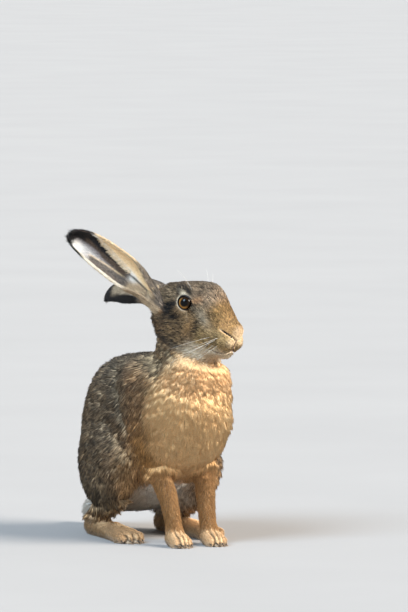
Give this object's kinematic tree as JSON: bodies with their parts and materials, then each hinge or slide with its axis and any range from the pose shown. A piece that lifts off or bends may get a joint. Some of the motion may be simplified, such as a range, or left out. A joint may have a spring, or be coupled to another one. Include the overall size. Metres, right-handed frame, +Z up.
{
  "type": "brown hare",
  "caption": "Life-size still model of a brown hare sitting alert, head turned to its left, long ears laid back, resting on its four feet.",
  "frame": {"origin": "on the floor under the middle of the hare's box", "axes": "+Z up, the hare's body faces -Y, its left side is +X"},
  "size_m": [0.1936, 0.3408, 0.3634],
  "materials": {
    "fur_grizzled_brown": "dense grizzled brown and grey fur",
    "fur_rufous_buff": "loose rufous and buff fur with dark tips",
    "fur_short_buff": "short buff fur",
    "ear_skin_and_fur": "thin skin with very short fur, black at the tip",
    "tail_fur": "fluffy fur, black above and white below",
    "eye_amber": "wet, glossy amber iris with a dark pupil"
  },
  "bodies": {
    "root": {"head": "fur_grizzled_brown", "neck": "fur_grizzled_brown", "torso": "fur_rufous_buff", "tail": "tail_fur", "ear_right": "ear_skin_and_fur", "ear_left": "ear_skin_and_fur", "eye_right": "eye_amber", "eye_left": "eye_amber", "haunch_right": "fur_grizzled_brown", "haunch_left": "fur_grizzled_brown", "hind_foot_right": "fur_short_buff", "hind_foot_left": "fur_short_buff", "foreleg_right": "fur_rufous_buff", "foreleg_left": "fur_rufous_buff", "forepaw_right": "fur_short_buff", "forepaw_left": "fur_short_buff"}
  },
  "joints": []
}
